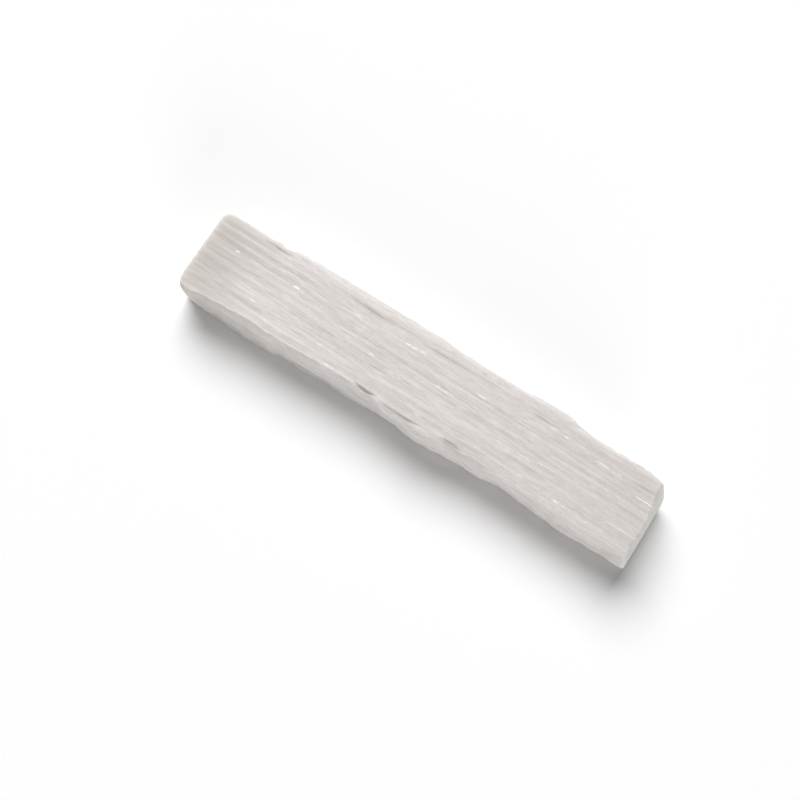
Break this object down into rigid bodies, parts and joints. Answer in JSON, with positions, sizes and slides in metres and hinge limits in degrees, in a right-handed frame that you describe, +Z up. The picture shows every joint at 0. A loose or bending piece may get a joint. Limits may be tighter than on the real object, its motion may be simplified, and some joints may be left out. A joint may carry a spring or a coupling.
{
  "type": "selenite crystal blade",
  "caption": "Raw selenite stick: a sawn, split length of white fibrous satin spar that lies on its broad face, for display.",
  "frame": {"origin": "on the surface that the stick lies on, under the middle of its box", "axes": "+X along the fibres towards the end whose broad face is narrower, +Y across the broad face, +Z up out of the upper broad face"},
  "size_m": [0.1519, 0.03, 0.0165],
  "materials": {
    "satin_spar": "silky fibrous white gypsum, slightly see-through at thin edges, with matt sawn ends"
  },
  "bodies": {
    "root": {"selenite_blade": "satin_spar"}
  },
  "joints": []
}
